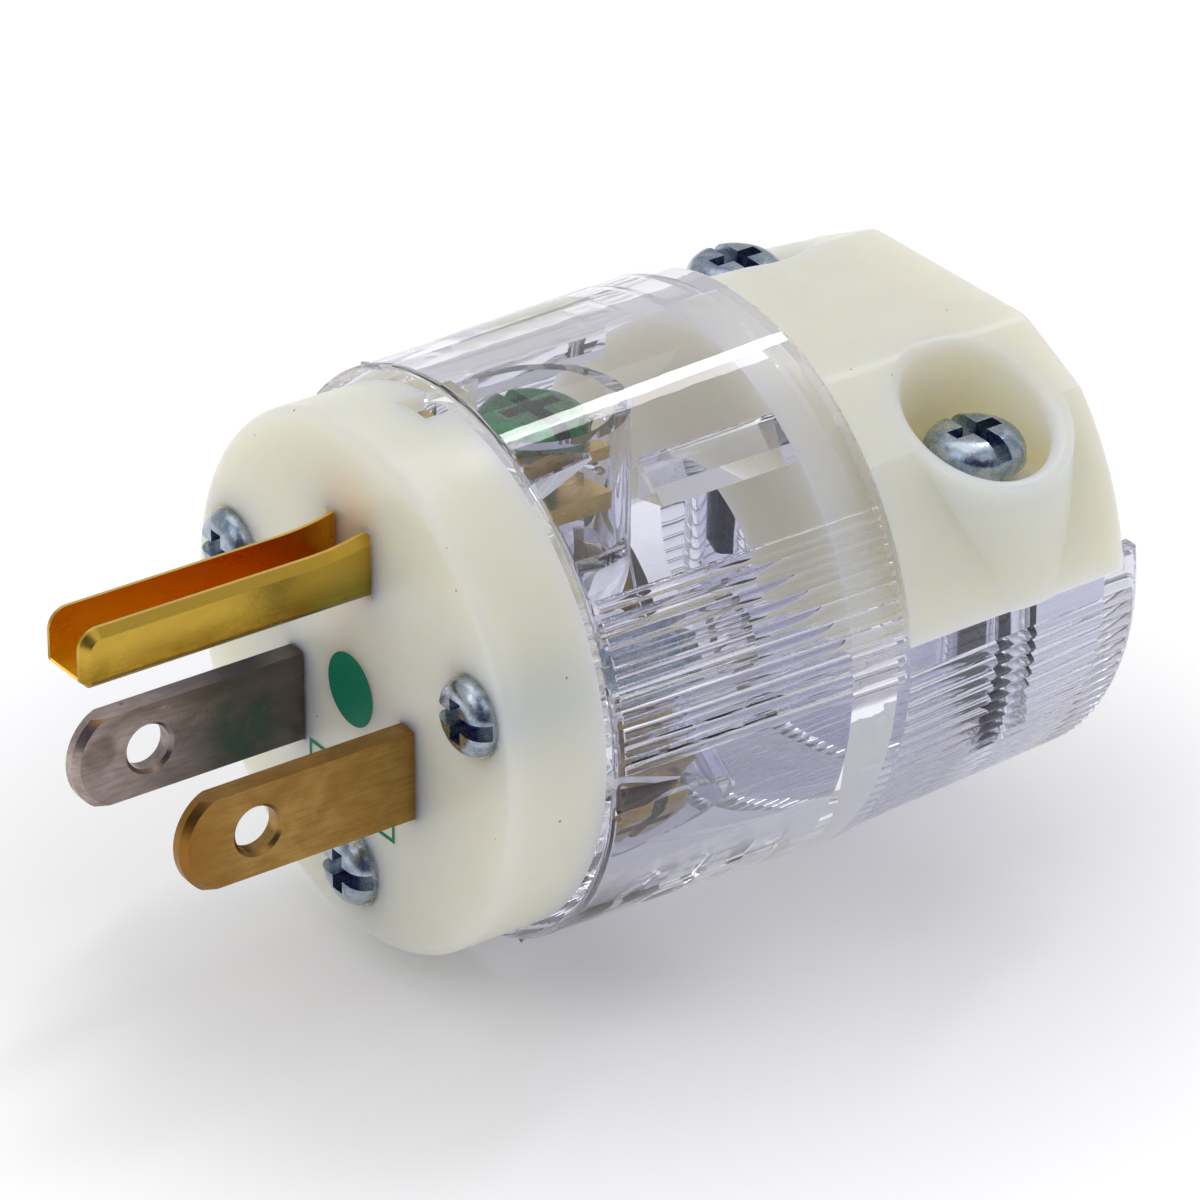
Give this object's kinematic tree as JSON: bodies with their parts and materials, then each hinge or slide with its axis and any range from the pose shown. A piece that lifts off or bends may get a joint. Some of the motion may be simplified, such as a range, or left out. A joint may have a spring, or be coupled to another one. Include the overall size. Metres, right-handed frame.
{
  "type": "type b plug",
  "caption": "Rewirable grounded mains plug: flat line blades and a U-shaped ground pin in a nylon face, clear housing showing the screw terminals, and a screwed nylon cord clamp.",
  "frame": {"origin": "centre of the nylon front face, on the body axis", "axes": "-Y out of the face along the blades, +Y towards the cord end, +Z from the line blades towards the ground pin, +X towards the hot blade"},
  "size_m": [0.0402, 0.0709, 0.0398],
  "materials": {
    "nylon": "satin",
    "clear_plastic": "gloss",
    "brass": "satin",
    "nickel_plate": "satin",
    "zinc_plate": "satin",
    "green_plate": "gloss"
  },
  "bodies": {
    "root": {"front_face": "nylon", "housing": "clear_plastic", "terminal_carrier": "clear_plastic", "cord_clamp": "nylon", "hot_blade": "brass", "neutral_blade": "nickel_plate", "ground_blade": "brass", "assembly_screws": "zinc_plate", "clamp_screws": "zinc_plate", "ground_terminal_screw": "green_plate", "hot_terminal_screw": "brass", "neutral_terminal_screw": "nickel_plate", "ground_clamp_plate": "brass", "hot_clamp_plate": "brass", "neutral_clamp_plate": "brass"}
  },
  "joints": []
}
